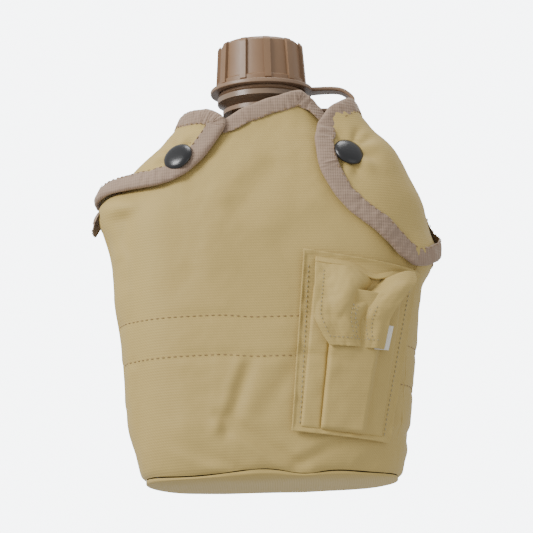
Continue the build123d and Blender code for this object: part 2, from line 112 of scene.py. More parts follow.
floor_mesh = bmesh.new()
bmesh.ops.create_grid(floor_mesh, x_segments=1, y_segments=1, size=3)
floor_data = bpy.data.meshes.new("floor")
floor_mesh.to_mesh(floor_data)
floor_mesh.free()
floor = bpy.data.objects.new("floor", floor_data)
bpy.context.scene.collection.objects.link(floor)
floor.visible_diffuse = False
floor.visible_glossy = False
floor.visible_transmission = False
floor.visible_shadow = False
paper = bpy.data.materials.new("floor_paper")
paper.use_nodes = True
nodes, links = paper.node_tree.nodes, paper.node_tree.links
nodes["Principled BSDF"].inputs["Base Color"].default_value = (0.80, 0.81, 0.83, 1)
nodes["Principled BSDF"].inputs["Roughness"].default_value = 0.7
side_on = nodes.new("ShaderNodeNewGeometry")
clear = nodes.new("ShaderNodeBsdfTransparent")
one_sided = nodes.new("ShaderNodeMixShader")
links.new(side_on.outputs["Backfacing"], one_sided.inputs[0])
links.new(nodes["Principled BSDF"].outputs[0], one_sided.inputs[1])
links.new(clear.outputs[0], one_sided.inputs[2])
links.new(one_sided.outputs[0], nodes["Material Output"].inputs["Surface"])
floor.data.materials.append(paper)

# ------------------------------------------------------------------ bottle, cap and their rings
# The bottle is blow moulded in brown plastic.  Its screw cap has a rubber seal inside, and two soft
# plastic rings hold the cap's strap.  The solids are shown with their own finishes.
def shader_group(name, given, made):
    """An empty node group with named sockets, and the nodes for its inputs and outputs."""
    group = bpy.data.node_groups.new(name, "ShaderNodeTree")
    for way, sockets in (("INPUT", given), ("OUTPUT", made)):
        for socket, kind in sockets.items():
            group.interface.new_socket(socket, in_out=way, socket_type=f"NodeSocket{kind}")
    return group, group.nodes.new("NodeGroupInput"), group.nodes.new("NodeGroupOutput")


def moulded_skin():
    """The skin of moulded plastic or enamel: faint mottling, uneven gloss and fine pits."""
    group, given, made = shader_group(
        "moulded_skin",
        {"Place": "Vector", "Colour": "Color", "Dark": "Color", "Grain": "Float",
         "Smoothest": "Float", "Roughest": "Float"},
        {"Colour": "Color", "Roughness": "Float", "Pits": "Float"},
    )
    nodes, links = group.nodes, group.links
    mottle = nodes.new("ShaderNodeTexNoise")
    mottle.inputs["Scale"].default_value = 90
    mottle.inputs["Detail"].default_value = 6
    tone = nodes.new("ShaderNodeMix")
    tone.data_type = "RGBA"
    gloss = nodes.new("ShaderNodeMapRange")
    pits = nodes.new("ShaderNodeTexNoise")
    pits.inputs["Detail"].default_value = 3
    links.new(given.outputs["Place"], mottle.inputs["Vector"])
    links.new(given.outputs["Dark"], tone.inputs["A"])
    links.new(given.outputs["Colour"], tone.inputs["B"])
    links.new(mottle.outputs["Fac"], tone.inputs["Factor"])
    links.new(mottle.outputs["Fac"], gloss.inputs["Value"])
    links.new(given.outputs["Smoothest"], gloss.inputs["To Min"])
    links.new(given.outputs["Roughest"], gloss.inputs["To Max"])
    links.new(given.outputs["Place"], pits.inputs["Vector"])
    links.new(given.outputs["Grain"], pits.inputs["Scale"])
    links.new(tone.outputs["Result"], made.inputs["Colour"])
    links.new(gloss.outputs[0], made.inputs["Roughness"])
    links.new(pits.outputs["Fac"], made.inputs["Pits"])
    return group


MOULDED_SKIN = moulded_skin()


def moulded(name, colour, dark, rough, grain, coat=0.0, metal=0.0):
    """Moulded plastic, enamelled metal or bare metal with the moulded skin."""
    made = bpy.data.materials.new(name)
    made.use_nodes = True
    nodes, links = made.node_tree.nodes, made.node_tree.links
    surface = nodes["Principled BSDF"]
    place = nodes.new("ShaderNodeTexCoord")
    skin = nodes.new("ShaderNodeGroup")
    skin.node_tree = MOULDED_SKIN
    skin.inputs["Colour"].default_value = (*colour, 1)
    skin.inputs["Dark"].default_value = (*dark, 1)
    skin.inputs["Grain"].default_value = grain
    skin.inputs["Smoothest"].default_value = rough - 0.07
    skin.inputs["Roughest"].default_value = rough + 0.1
    raised = nodes.new("ShaderNodeBump")
    raised.inputs["Strength"].default_value = 0.12
    raised.inputs["Distance"].default_value = 0.0004
    links.new(place.outputs["Object"], skin.inputs["Place"])
    links.new(skin.outputs["Colour"], surface.inputs["Base Color"])
    links.new(skin.outputs["Roughness"], surface.inputs["Roughness"])
    links.new(skin.outputs["Pits"], raised.inputs["Height"])
    links.new(raised.outputs[0], surface.inputs["Normal"])
    surface.inputs["Coat Weight"].default_value = coat
    surface.inputs["Coat Roughness"].default_value = 0.2
    surface.inputs["Metallic"].default_value = metal
    return made


def finish_solids(material, *names):
    """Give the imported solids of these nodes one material."""
    for name in names:
        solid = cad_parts[name].data
        solid.materials.clear()
        solid.materials.append(material)


cap_plastic = moulded("cap_plastic", (0.245, 0.142, 0.076), (0.20, 0.115, 0.060), 0.42, 2600)
bottle_plastic = moulded("bottle_plastic", (0.26, 0.18, 0.12), (0.21, 0.14, 0.093), 0.28, 1500)
ring_plastic = moulded("strap_plastic", (0.27, 0.17, 0.105), (0.225, 0.14, 0.085), 0.36, 1800)
seal_rubber = moulded("gasket_rubber", (0.05, 0.05, 0.05), (0.03, 0.03, 0.03), 0.6, 900)
finish_solids(bottle_plastic, "bottle_body")
finish_solids(cap_plastic, "cap")
finish_solids(seal_rubber, "cap_gasket")
finish_solids(ring_plastic, "strap_cap_ring", "strap_neck_ring")

# ------------------------------------------------------------------ cloth cover: weave and shape
# The cover is sewn from padded khaki twill lined with pile, and the bottle fills it.  Its smooth shape
# is a rounded kidney section at each height; billows, creases and seam pulls stand out of that.
def woven_skin():
    """Woven cloth: ribs of one thread width, slubs, and slow drifts of tone."""
    group, given, made = shader_group(
        "woven_skin",
        {"Place": "Vector", "Colour": "Color", "Dark": "Color", "Slub Scale": "Float",
         "Rib Scale": "Float", "Pick Scale": "Float", "Turn": "Vector"},
        {"Colour": "Color", "Relief": "Float"},
    )
    nodes, links = group.nodes, group.links
    drift = nodes.new("ShaderNodeTexNoise")
    drift.inputs["Scale"].default_value = 28
    drift.inputs["Detail"].default_value = 5
    slub = nodes.new("ShaderNodeTexNoise")
    slub.inputs["Detail"].default_value = 3
    stretch = nodes.new("ShaderNodeMapping")
    stretch.inputs["Scale"].default_value = (1, 1, 0.25)
    ribs = nodes.new("ShaderNodeTexWave")
    ribs.inputs["Distortion"].default_value = 0.6
    ribs.inputs["Detail"].default_value = 1
    turn = nodes.new("ShaderNodeMapping")
    picks = nodes.new("ShaderNodeTexWave")
    picks.bands_direction = "Z"
    picks.inputs["Distortion"].default_value = 0.8
    for mapping in (stretch, turn):
        links.new(given.outputs["Turn"], mapping.inputs["Rotation"])
    for texture in (drift, stretch, turn, picks):
        links.new(given.outputs["Place"], texture.inputs["Vector"])
    links.new(stretch.outputs[0], slub.inputs["Vector"])
    links.new(turn.outputs[0], ribs.inputs["Vector"])
    links.new(given.outputs["Slub Scale"], slub.inputs["Scale"])
    links.new(given.outputs["Rib Scale"], ribs.inputs["Scale"])
    links.new(given.outputs["Pick Scale"], picks.inputs["Scale"])

    def scaled(source, factor, added=None, constant=0.0):
        """source times factor, plus another socket or a constant."""
        node = nodes.new("ShaderNodeMath")
        node.operation = "MULTIPLY_ADD"
        node.inputs[1].default_value = factor
        node.inputs[2].default_value = constant
        links.new(source, node.inputs[0])
        if added:
            links.new(added, node.inputs[2])
        return node.outputs[0]

    slow = scaled(drift.outputs["Fac"], 0.55, constant=-0.05)
    ribbed = scaled(ribs.outputs["Fac"], 0.42, slow)
    total = scaled(slub.outputs["Fac"], 0.45, ribbed)
    tone = nodes.new("ShaderNodeMix")
    tone.data_type = "RGBA"
    links.new(given.outputs["Dark"], tone.inputs["A"])
    links.new(given.outputs["Colour"], tone.inputs["B"])
    links.new(total, tone.inputs["Factor"])
    links.new(tone.outputs["Result"], made.inputs["Colour"])
    links.new(scaled(picks.outputs["Fac"], 0.6, total), made.inputs["Relief"])
    return group


WOVEN_SKIN = woven_skin()


def cloth(name, colour, dark, thread, across, rough=0.62, bump=0.35, fuzz=0.25):
    """A woven cloth of one thread width, its ribs turned across degrees."""
    made = bpy.data.materials.new(name)
    made.use_nodes = True
    nodes, links = made.node_tree.nodes, made.node_tree.links
    surface = nodes["Principled BSDF"]
    place = nodes.new("ShaderNodeTexCoord")
    skin = nodes.new("ShaderNodeGroup")
    skin.node_tree = WOVEN_SKIN
    skin.inputs["Colour"].default_value = (*colour, 1)
    skin.inputs["Dark"].default_value = (*dark, 1)
    skin.inputs["Slub Scale"].default_value = 1.6 / thread
    skin.inputs["Rib Scale"].default_value = 0.32 / thread
    skin.inputs["Pick Scale"].default_value = 0.22 / thread
    skin.inputs["Turn"].default_value = (0, math.radians(across), 0)
    raised = nodes.new("ShaderNodeBump")
    raised.inputs["Strength"].default_value = bump
    raised.inputs["Distance"].default_value = 0.25 * thread
    links.new(place.outputs["Object"], skin.inputs["Place"])
    links.new(skin.outputs["Colour"], surface.inputs["Base Color"])
    links.new(skin.outputs["Relief"], raised.inputs["Height"])
    links.new(raised.outputs[0], surface.inputs["Normal"])
    surface.inputs["Roughness"].default_value = rough
    surface.inputs["Sheen Weight"].default_value = fuzz
    surface.inputs["Sheen Roughness"].default_value = 0.45
    surface.inputs["Sheen Tint"].default_value = (1.0, 0.92, 0.75, 1)
    surface.inputs["Specular IOR Level"].default_value = 0.3
    return made


khaki = cloth("khaki_twill", (0.50, 0.365, 0.125), (0.385, 0.277, 0.090), 0.0009, 38, fuzz=0.10)

# Shares of shoulder height, width and depth at stations up the cover, as in the solids.
STATIONS = (
    (0.00, 0.80, 0.80),
    (0.04, 0.835, 0.86),
    (0.15, 0.89, 0.93),
    (0.37, 0.96, 0.99),
    (0.57, 1.00, 1.00),
    (0.72, 0.98, 0.98),
    (0.79, 0.885, 0.93),
    (0.85, 0.765, 0.86),
    (0.90, 0.63, 0.79),
    (0.95, 0.52, 0.73),
    (1.00, 0.45, 0.70),
    (1.055, 0.43, 0.69),
)
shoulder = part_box("strap_neck_ring")[0].z - 0.0006
half_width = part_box("cover_front")[1].x - 0.0005
half_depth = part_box("cover_back")[1].y - 0.0002


def girth(z):
    """Half width and half depth of the cover at height z, smooth between stations."""
    share = min(max(z / shoulder, 0.0), 1.0549)
    for low, high in zip(STATIONS, STATIONS[1:]):
        if share <= high[0]:
            break
    at = STATIONS.index(low)
    before = STATIONS[max(at - 1, 0)]
    after = STATIONS[min(at + 2, len(STATIONS) - 1)]
    span = high[0] - low[0]
    t = (share - low[0]) / span
    found = []
    for k in (1, 2):
        m0 = (high[k] - before[k]) / (high[0] - before[0]) * span
        m1 = (after[k] - low[k]) / (after[0] - low[0]) * span
        found.append(
            (2 * t**3 - 3 * t**2 + 1) * low[k]
            + (t**3 - 2 * t**2 + t) * m0
            + (-2 * t**3 + 3 * t**2) * high[k]
            + (t**3 - t**2) * m1
        )
    return found[0] * half_width, found[1] * half_depth


def groove(x, z, start, end, width, depth):
    """Depth of a soft crease along a segment in the front view."""
    ax, az = start
    dx, dz = end[0] - ax, end[1] - az
    along = ((x - ax) * dx + (z - az) * dz) / (dx * dx + dz * dz)
    fade = max(0.0, 1 - max(0.0, -along, along - 1) * 6)
    off = math.hypot(x - ax - along * dx, z - az - along * dz)
    side = 1 if (x - ax) * dz - (z - az) * dx > 0 else -1
    ridge = math.exp(-(((off - width) / width) ** 2)) * 0.5 * (side > 0)
    return fade * depth * (math.exp(-((off / width) ** 2)) - ridge)


STUD_BOXES = {-1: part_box("left_snap_stud"), 1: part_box("right_snap_stud")}
SEATS = {side: 0.5 * (Vector(low) + Vector(high)) for side, (low, high) in STUD_BOXES.items()}


CREASES = (
    ((-0.010, 0.052), (-0.021, 0.022), 0.0034, 0.0021),
    ((-0.022, 0.028), (0.012, 0.006), 0.0032, 0.0020),
    ((-0.0605, 0.108), (-0.0600, 0.030), 0.0036, 0.0021),
    ((-0.0660, 0.126), (-0.0615, 0.110), 0.0050, 0.0026),
    ((-0.048, 0.134), (-0.060, 0.116), 0.0060, 0.0015),
    ((0.004, 0.148), (-0.014, 0.126), 0.0080, 0.0015),
    ((0.030, 0.122), (0.006, 0.110), 0.0070, 0.0013),
    ((0.010, 0.052), (-0.004, 0.030), 0.0050, 0.0011),
    ((0.064, 0.024), (0.042, 0.006), 0.0034, 0.0021),
    ((-0.044, 0.018), (-0.016, 0.005), 0.0030, 0.0015),
    ((0.030, 0.016), (0.010, 0.006), 0.0030, 0.0014),
    ((-0.034, 0.098), (-0.050, 0.086), 0.0060, 0.0011),
    ((0.069, 0.096), (0.064, 0.066), 0.0036, 0.0015),
)


def bell(distance, width):
    """1 at no distance, falling smoothly to nothing over about two widths."""
    return math.exp(-((distance / width) ** 2))


def eased(value):
    """0 below 0, 1 above 1, smooth between."""
    value = min(max(value, 0.0), 1.0)
    return value * value * (3 - 2 * value)


ROWS = (0.0762, 0.0578)


def row_height(row, x):
    """Height of a quilting row at x: level at the left, lower beyond the pocket."""
    return row - 0.0014 * eased(x / 0.02 + 1.2) - 0.0125 * eased((x - 0.018) / 0.045)


def rim_height(x):
    """Height of the seam between the base and the walls, which wavers."""
    return 0.0042 + 0.0014 * math.sin(72 * x + 1.1) - 0.0030 * bell(x - 0.014, 0.012)


def slack(x, y, z):
    """How far the cloth stands out of its smooth shape: broad billows, creases and seam pulls."""
    where = Vector((x, y * 1.3, z))
    seat = SEATS[1 if x > 0 else -1]
    calm = 1 - bell((Vector((x, y, z)) - seat).length, 0.016)
    out = 0.0016 * calm * noise.noise(where * 22 + Vector((3.1, 0.4, 1.7)))
    side = max(0.0, abs(x) / half_width - 0.72) / 0.28
    if x < 0:
        out += 0.0098 * min(side, 1.0) ** 1.5 * bell(z - 0.1325, 0.0095)
        out += 0.0034 * min(side, 1.0) * bell(z - 0.152, 0.012)
        out -= 0.0012 * min(side, 1.0) * bell(z - 0.104, 0.012)
    else:
        out += 0.0048 * min(side, 1.0) ** 1.5 * bell(z - 0.1065, 0.0085)
        out -= 0.0008 * min(side, 1.0) * bell(z - 0.142, 0.014)
    drape = 0.0010 * noise.noise(Vector((x * 75, y * 60, z * 24)))
    out += drape * (0.45 + 0.55 * min(abs(x) / (0.7 * half_width), 1.0))
    out += 0.0005 * noise.noise(Vector((x * 52 + z * 40, y * 40, z * 95)))
    out += 0.00022 * noise.noise(where * 210)
    out -= 0.0013 * bell(z - rim_height(x), 0.0013)
    if y < 0.3 * half_depth:
        for start, end, width, depth in CREASES:
            out -= groove(x, z, start, end, width, depth)
        for row in ROWS:
            pull = bell(z - row_height(row, x), 0.0024)
            out -= pull * (0.0008 + 0.0005 * noise.noise(Vector((x * 190, 0, row))))
    if out < -0.0012:
        out = -0.0012 - 0.0011 * math.tanh((-0.0012 - out) / 0.0016)
    return out


bottle_mesh = bmesh.new()
bottle_mesh.from_mesh(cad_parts["bottle_body"].data)
bottle_mesh.transform(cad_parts["bottle_body"].matrix_world)
bottle_skin = BVHTree.FromBMesh(bottle_mesh)
bottle_mesh.free()
PADDING = 0.0022  # least room for the lining between cloth and bottle
SQUARENESS = 0.74  # 1 is an ellipse, less is squarer


def unit_power(value):
    """Sine or cosine drawn out towards a rounded rectangle, with its sign."""
    return math.copysign(abs(value) ** SQUARENESS, value)


def cover_point(turn, z, out=0.0):
    """A point of the cover; turn is 0 at the front centre and +90 degrees at the right side."""
    wide, deep = girth(z)
    x = wide * unit_power(math.sin(turn))
    y = -deep * unit_power(math.cos(turn))
    ahead = (wide + 0.001) * unit_power(math.sin(turn + 0.01)), -deep * unit_power(math.cos(turn + 0.01))
    behind = (wide + 0.001) * unit_power(math.sin(turn - 0.01)), -deep * unit_power(math.cos(turn - 0.01))
    above, below = girth(z + 0.002), girth(z - 0.002)
    rise = Vector(
        (
            (above[0] - below[0]) * unit_power(math.sin(turn)),
            -(above[1] - below[1]) * unit_power(math.cos(turn)),
            0.004,
        )
    )
    round_it = Vector((ahead[0] - behind[0], ahead[1] - behind[1], 0))
    normal = round_it.cross(rise).normalized()
    point = Vector((x, y, z)) + normal * slack(x, y, z)
    spot, away, _, _ = bottle_skin.find_nearest(point)
    gap = (point - spot).dot(away)
    if z < 0.9 * shoulder:
        gap = PADDING * math.log1p(math.exp(min((PADDING - gap) / (0.3 * PADDING), 30))) * 0.3
        point += normal * gap
    return point + normal * out, normal


def sheet_of(name, columns, rows, place, finish, body, *stands_for, thick=0.0, level=1):
    """A cloth grid: place(u, v) gives each point, u and v from 0 to 1."""
    grid = bmesh.new()
    bmesh.ops.create_grid(grid, x_segments=columns, y_segments=rows, size=0.5)
    for vert in grid.verts:
        vert.co = place(vert.co.x + 0.5, vert.co.y + 0.5)
    bmesh.ops.remove_doubles(grid, verts=grid.verts, dist=0.00002)
    bmesh.ops.recalc_face_normals(grid, faces=grid.faces)
    for face in grid.faces:
        face.smooth = True
    mesh = bpy.data.meshes.new(name)
    grid.to_mesh(mesh)
    grid.free()
    piece = bpy.data.objects.new(name, mesh)
    bpy.context.scene.collection.objects.link(piece)
    mesh.materials.append(finish)
    if thick:
        ply = piece.modifiers.new("ply", "SOLIDIFY")
        ply.thickness = thick
        ply.offset = 1
    if level:
        smooth = piece.modifiers.new("smooth", "SUBSURF")
        smooth.levels = smooth.render_levels = level
    if stands_for:
        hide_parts(*stands_for)
    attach(piece, body)
    return piece


# ------------------------------------------------------------------ cover panels and lining
# The front panel wraps round to the two side seams, the back panel closes them, and an oval base is
# sewn in below.  A pile lining is quilted to them by the rows of stitches.
FRONT_EDGE = (
    (-1.10, 0.650),
    (-1.00, 0.700),
    (-0.955, 0.742),
    (-0.84, 0.815),
    (-0.61, 0.900),
    (-0.24, 0.955),
    (-0.11, 0.986),
    (0.05, 1.010),
    (0.25, 1.033),
    (0.32, 1.014),
    (0.41, 0.968),
    (0.61, 0.915),
    (0.84, 0.800),
    (1.00, 0.620),
    (1.10, 0.600),
)


def edge_height(x):
    """Height of the front panel's top edge at x."""
    share = min(max(x / half_width, -1.09), 1.09)
    for low, high in zip(FRONT_EDGE, FRONT_EDGE[1:]):
        if share <= high[0]:
            t = (share - low[0]) / (high[0] - low[0])
            t = t * t * (3 - 2 * t) * 0.5 + t * 0.5
            return shoulder * (low[1] + t * (high[1] - low[1]))
    return shoulder * FRONT_EDGE[-1][1]


def column_top(turn):
    """Where a column of the front panel reaches its top edge."""
    low, high = 0.4 * shoulder, 1.05 * shoulder
    for _ in range(30):
        z = 0.5 * (low + high)
        x = girth(z)[0] * unit_power(math.sin(turn))
        if z < edge_height(x):
            low = z
        else:
            high = z
    return low


SEAM_TURN = math.radians(104)


def front_place(u, v):
    """The front panel, from the base seam up to its shaped top edge."""
    turn = (2 * u - 1) * SEAM_TURN
    low = rim_height(girth(0.003)[0] * unit_power(math.sin(turn)))
    return cover_point(turn, low + v * (column_top(turn) - low))[0]


def back_top(turn):
    """Top edge of the back panel: high behind the neck, falling along the two fold lines."""
    away = abs(math.sin(turn))
    return shoulder * (0.975 - 0.30 * max(0.0, away - 0.30) ** 1.2)


def back_place(u, v):
    """The back panel, between the two side seams."""
    turn = SEAM_TURN + u * (2 * math.pi - 2 * SEAM_TURN)
    low = rim_height(girth(0.003)[0] * unit_power(math.sin(turn)))
    return cover_point(turn, low + v * (back_top(turn) - low))[0]


front_panel = sheet_of("front_panel", 200, 110, front_place, khaki, ROOT, "cover_front", "inner_webbing")
back_panel = sheet_of("back_panel", 110, 70, back_place, khaki, ROOT, "cover_back")


def bottom_place(u, v):
    """The sagging base, drawn in by its seam: rounded at the rim and resting on its middle."""
    turn = 2 * math.pi * u
    low = rim_height(girth(0.003)[0] * unit_power(math.sin(turn)))
    rim = cover_point(turn, low)[0]
    reach = math.sin(0.5 * math.pi * v) ** 0.8
    swell = 1 + 0.014 * bell(v - 0.86, 0.08)
    level = low * (1 - math.cos(0.5 * math.pi * v)) ** 2.2
    ripple = 0.0009 * noise.noise(Vector((rim.x * reach * 55, rim.y * reach * 55, 5)))
    return Vector((rim.x * reach * swell, rim.y * reach * swell, max(0.0, level + ripple * v * (1 - v))))


base_panel = sheet_of("base_panel", 140, 36, bottom_place, khaki, ROOT, "cover_bottom")


def lining_place(u, v):
    """The lining, just inside the cloth all the way round."""
    turn = 2 * math.pi * u
    front = abs((turn + math.pi) % (2 * math.pi) - math.pi) < SEAM_TURN
    top = column_top(turn) - 0.004 if front else back_top(turn) - 0.003
    point, normal = cover_point(turn, 0.004 + v * (top - 0.004))
    return point - normal * 0.0022


pile_cloth = cloth("pile", (0.40, 0.34, 0.22), (0.22, 0.18, 0.11), 0.0016, 20, 0.95, 1.0, 0.5)
lining = sheet_of("lining", 150, 60, lining_place, pile_cloth, ROOT, "pile_lining")

# ------------------------------------------------------------------ collar binding and rows of stitches
# A brown tape is folded over the front panel's top edge and sewn down.  Two rows of stitches run round
# the cover and quilt the lining to it.
tape = cloth("binding_tape", (0.33, 0.232, 0.168), (0.225, 0.152, 0.107), 0.0011, 0, 0.7, 0.6, 0.25)
thread_tan = cloth("thread", (0.30, 0.19, 0.085), (0.22, 0.14, 0.06), 0.0004, 60, 0.5, 0.6, 0.2)


def smoothed(points, passes):
    """The points with each one drawn towards its neighbours, once a pass; the ends stay."""
    for _ in range(passes):
        points = (
            [points[0]]
            + [(a + 2 * b + c) / 4 for a, b, c in zip(points, points[1:], points[2:])]
            + [points[-1]]
        )
    return points


def frames_along(points, normals):
    """Tangent and inward directions of a bound edge, which runs with the cloth on its left."""
    found = []
    for i, (point, normal) in enumerate(zip(points, normals)):
        ahead = points[min(i + 1, len(points) - 1)] - points[max(i - 1, 0)]
        tangent = ahead.normalized()
        found.append((tangent, normal.cross(tangent).normalized()))
    return found


def binding(name, points, normals, width, lift, body, *stands_for, seed=0.0):
    """Tape folded over an edge: puckered front, rolled edge and a short back."""
    profile = (
        (1.00, 0.45), (0.97, 0.85), (0.80, 1.0), (0.55, 1.12), (0.30, 1.15), (0.10, 0.95),
        (0.0, 0.35), (0.0, -0.3), (0.12, -0.75), (0.5, -0.8),
    )
    frames = frames_along(points, normals)

    def place(u, v):
        spot = min(int(round(u * (len(points) - 1))), len(points) - 1)
        row = min(int(round(v * (len(profile) - 1))), len(profile) - 1)
        inward, high = profile[row]
        point, normal, (_, inside) = points[spot], normals[spot], frames[spot]
        ripple = noise.noise(point * 150 + Vector((seed, 0, 0)))
        pucker = noise.noise(Vector((spot * 0.33, inward * 2.2, seed)))
        reach = width * (inward * (1 + 0.10 * ripple) - 0.10)
        rise = lift * high * (1 + 0.30 * pucker) + (0.0005 + 0.0004 * pucker) * (high > 0)
        return point + inside * reach + normal * rise

    return sheet_of(name, len(points) - 1, len(profile) - 1, place, tape, body, *stands_for)


def stitches(name, points, normals, body, finish=None, length=0.0018, gap=0.0010, size=0.00024):
    """A row of sewn stitches: one small oval of thread each."""
    row = bmesh.new()
    since = gap
    for a, b, normal in zip(points, points[1:], normals):
        since += (b - a).length
        if since < length + gap:
            continue
        since = 0.0
        across = (b - a).normalized()
        up = across.cross(normal).normalized().cross(across)
        turn = Matrix((across, up.cross(across), up)).transposed().to_4x4()
        shape = Matrix.Translation(b + up * size * 0.5) @ turn
        shape = shape @ Matrix.Diagonal((length / 2, size * 1.15, size * 0.9, 1))
        bmesh.ops.create_uvsphere(row, u_segments=6, v_segments=5, radius=1.0, matrix=shape)
    for face in row.faces:
        face.smooth = True
    mesh = bpy.data.meshes.new(name)
    row.to_mesh(mesh)
    row.free()
    piece = bpy.data.objects.new(name, mesh)
    bpy.context.scene.collection.objects.link(piece)
    mesh.materials.append(finish or thread_tan)
    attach(piece, body)
    return piece


def shifted(points, normals, inward, out):
    """The edge moved into the cloth and off its surface, for a row of stitches."""
    frames = frames_along(points, normals)
    return [p + f[1] * inward + n * out for p, n, f in zip(points, normals, frames)]


EDGE_STEPS = 240


def top_edge():
    """The front panel's top edge, from its right seam to its left."""
    points, normals = [], []
    for step in range(EDGE_STEPS + 1):
        turn = (1 - 2 * step / EDGE_STEPS) * SEAM_TURN
        point, normal = cover_point(turn, column_top(turn) - 0.0004)
        points.append(point)
        normals.append(normal)
    return smoothed(points, 3), normals


collar, collar_normals = top_edge()
collar_tape = binding(
    "collar_binding", collar, collar_normals, 0.0082, 0.0011, ROOT, "front_binding", seed=4.0
)
collar_row = shifted(collar, collar_normals, 0.0070, 0.0013)
stitches("collar_stitches", collar_row, collar_normals, ROOT)


def front_turn(x, z):
    """The column that passes through x at height z, on the front half."""
    share = min(abs(x) / girth(z)[0], 0.999)
    return math.copysign(math.asin(share ** (1 / SQUARENESS)), x)


ROW_STEPS = 899
for name, level in zip(("upper_row", "lower_row"), ROWS):
    points, normals = [], []
    for step in range(ROW_STEPS + 1):
        turn = (2 * step / ROW_STEPS - 1) * SEAM_TURN * 0.98
        x = girth(level)[0] * unit_power(math.sin(turn))
        point, normal = cover_point(turn, row_height(level, x), 0.00010)
        points.append(point)
        normals.append(normal)
    stitches(name, points, normals, ROOT, length=0.0018, gap=0.0010, size=0.00022)

# ------------------------------------------------------------------ shoulder flaps
# Two flaps of the same cloth fold over the shoulders from the back and snap to the front.  Each is
# bound with brown tape on its free edges and puckers round its snap.
# Edge heights against the turn round the cover, from the front tip back to the fold line.
FLAPS = {
    "right": (
        ((18, 0.1425), (18.6, 0.1385), (21, 0.1305), (27, 0.1225), (34, 0.1170), (43, 0.1100),
         (51, 0.1035), (60, 0.0998), (69, 0.1008), (76, 0.1035), (84, 0.1070), (94, 0.1130),
         (104, 0.128), (118, 0.1405), (132, 0.151), (156, 0.170)),
        ((18, 0.1465), (19, 0.1515), (23, 0.1600), (33, 0.1680), (48, 0.1745), (67, 0.1780),
         (90, 0.179), (130, 0.178), (156, 0.174)),
    ),
    "left": (
        ((19, 0.1650), (20, 0.1605), (21.5, 0.1545), (25, 0.1480), (30, 0.1427), (41, 0.1395),
         (57, 0.1388), (67, 0.1372), (83, 0.1335), (95, 0.1330), (106, 0.1360), (118, 0.1425),
         (132, 0.152), (156, 0.170)),
        ((19, 0.1680), (21, 0.1705), (24, 0.1726), (32, 0.1750), (40, 0.1765), (60, 0.1767),
         (90, 0.177), (130, 0.177), (156, 0.173)),
    ),
}


def along(table, turn):
    """Height read from an edge table, eased between its entries."""
    for low, high in zip(table, table[1:]):
        if turn <= high[0]:
            t = (turn - low[0]) / (high[0] - low[0])
            t = 0.6 * t + 0.4 * t * t * (3 - 2 * t)
            return low[1] + t * (high[1] - low[1])
    return table[-1][1]


def flap_point(side, u, v, out):
    """A point of a flap: u from its front tip to its fold, v from its lower edge to its upper."""
    lower, upper = FLAPS[side]
    sign = -1 if side == "left" else 1
    turn = lower[0][0] + (lower[-1][0] - lower[0][0]) * u**1.25
    z = along(lower, turn) * (1 - v) + along(upper, turn) * v
    if side == "right":
        out += 0.0085 * eased((turn - 26) / 40) * eased((118 - turn) / 30) * eased(v * 1.25 - 0.25)
    point, normal = cover_point(sign * math.radians(turn), z, out)
    near = point - normal * out - SEATS[sign]
    dent = 0.0012 * bell(near.length, 0.0095)
    rays = math.atan2(near.z, near.x)
    dent -= 0.0009 * math.sin(7 * rays + sign) * bell(near.length - 0.0100, 0.0038)
    return point - normal * dent, normal


for side, sign in (("left", -1), ("right", 1)):
    body = f"flap_{side}"
    place = lambda u, v, side=side: flap_point(side, u, v, 0.0022)[0]
    flap = sheet_of(
        f"{side}_shoulder_flap", 120, 46, place, khaki, body, f"{side}_flap", thick=0.0012
    )
    route = [(u / 150, 0.0) for u in range(150, 0, -1)]
    route += [(0.0, v / 12) for v in range(0, 12)]
    route += [(u / 150, 1.0) for u in range(0, 151)]
    edge = [flap_point(side, u, v, 0.0027) for u, v in route]
    points = smoothed([point for point, _ in edge], 8)
    normals = smoothed([normal for _, normal in edge], 6)
    if sign > 0:
        points.reverse()
        normals.reverse()
    flap_tape = binding(
        f"{side}_binding", points, normals, 0.0088, 0.0014, body, f"{side}_flap_binding",
        seed=2.0 * sign,
    )
    row = shifted(points, normals, 0.0074, 0.0017)
    stitches(f"{side}_binding_stitches", row, normals, body)

# ------------------------------------------------------------------ snaps
# A black enamelled cap is riveted through each flap to a brass socket, which grips a brass stud set in
# the front panel.  The caps lean a little with the cloth under them.
black_enamel = moulded("snap_enamel", (0.009, 0.009, 0.010), (0.005, 0.005, 0.006), 0.30, 900, 0.15)
dull_brass = moulded("snap_metal", (0.35, 0.27, 0.13), (0.22, 0.17, 0.09), 0.35, 900, 0.0, 1.0)
for side in ("left", "right"):
    finish_solids(dull_brass, f"{side}_snap_socket", f"{side}_snap_stud", f"{side}_stud_washer")

